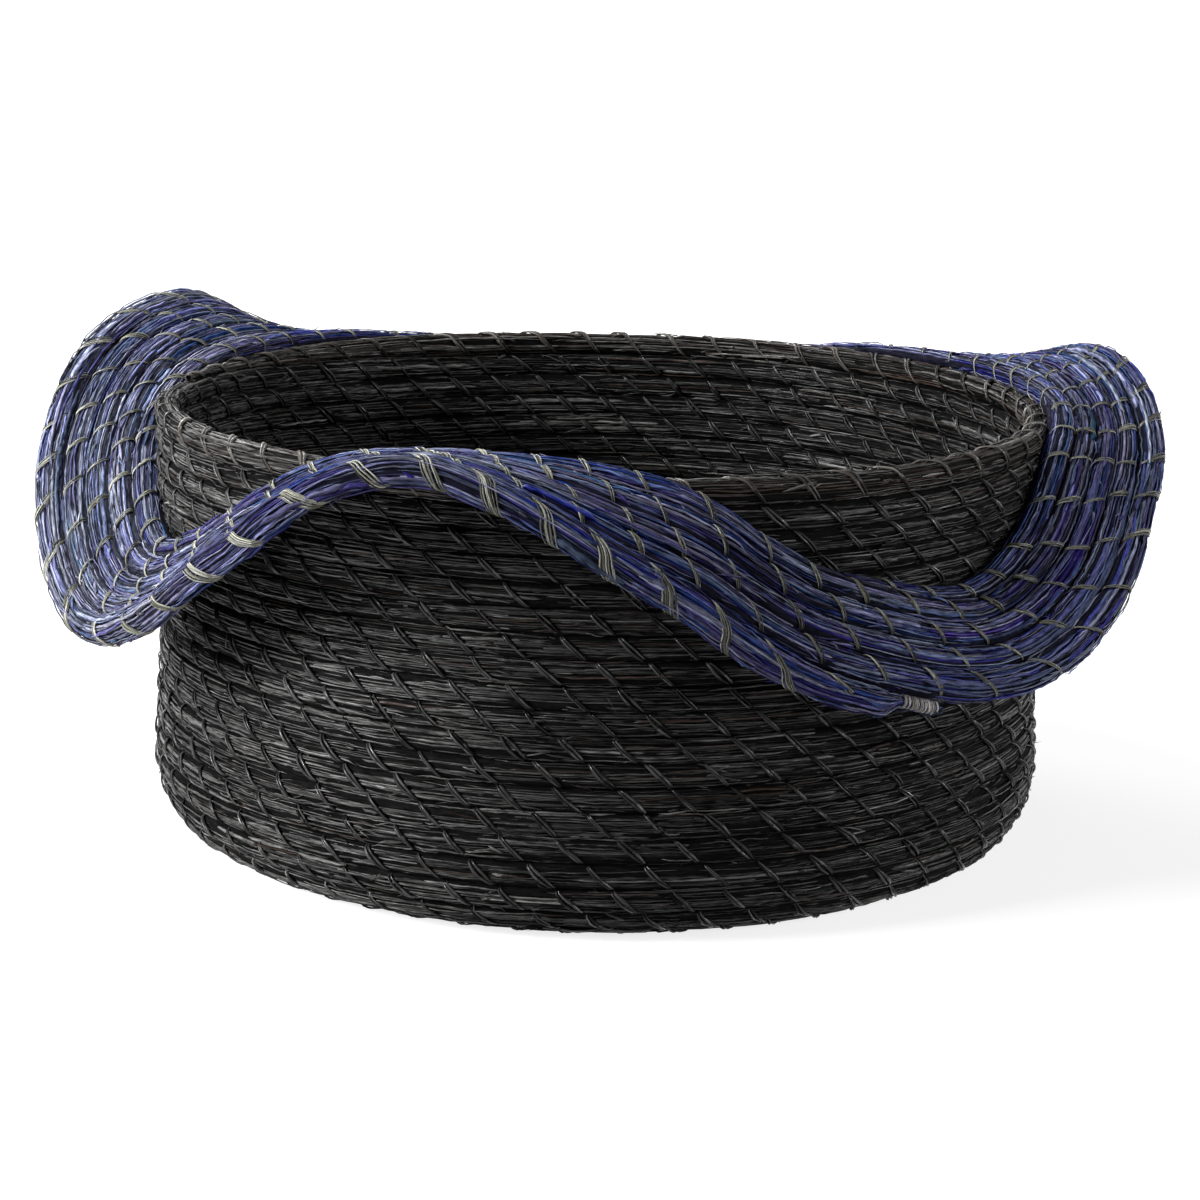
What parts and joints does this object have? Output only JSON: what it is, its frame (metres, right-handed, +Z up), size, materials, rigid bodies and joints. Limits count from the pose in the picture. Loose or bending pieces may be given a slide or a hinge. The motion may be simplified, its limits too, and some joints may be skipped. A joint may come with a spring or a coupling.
{
  "type": "coiled grass basket",
  "caption": "Round coiled grass basket, black stitched body with an upright wall and a blue wavy brim that rises and hangs in three waves; open top.",
  "frame": {"origin": "middle of the flat underside, on the surface the basket stands on, on the axis of the round wall", "axes": "+Z up out of the open top; +X towards the right-hand lobe of the brim, with the brim's tail whipping at the front right (-Y side); the picture looks along +Y"},
  "size_m": [0.4638, 0.4436, 0.1995],
  "materials": {
    "black_grass": "dry dyed grass, charcoal black with a brown cast, stitched",
    "rim_grass": "dry dyed grass, dusty black-brown, closely wrapped",
    "blue_grass": "dry dyed grass, indigo with lavender-grey and teal streaks",
    "whipping_thread": "fine dark thread with a slight sheen"
  },
  "bodies": {
    "root": {"floor_coil": "black_grass", "wall_coil": "black_grass", "rim_coil": "rim_grass", "brim_coil": "blue_grass", "tail_whipping": "whipping_thread"}
  },
  "joints": []
}
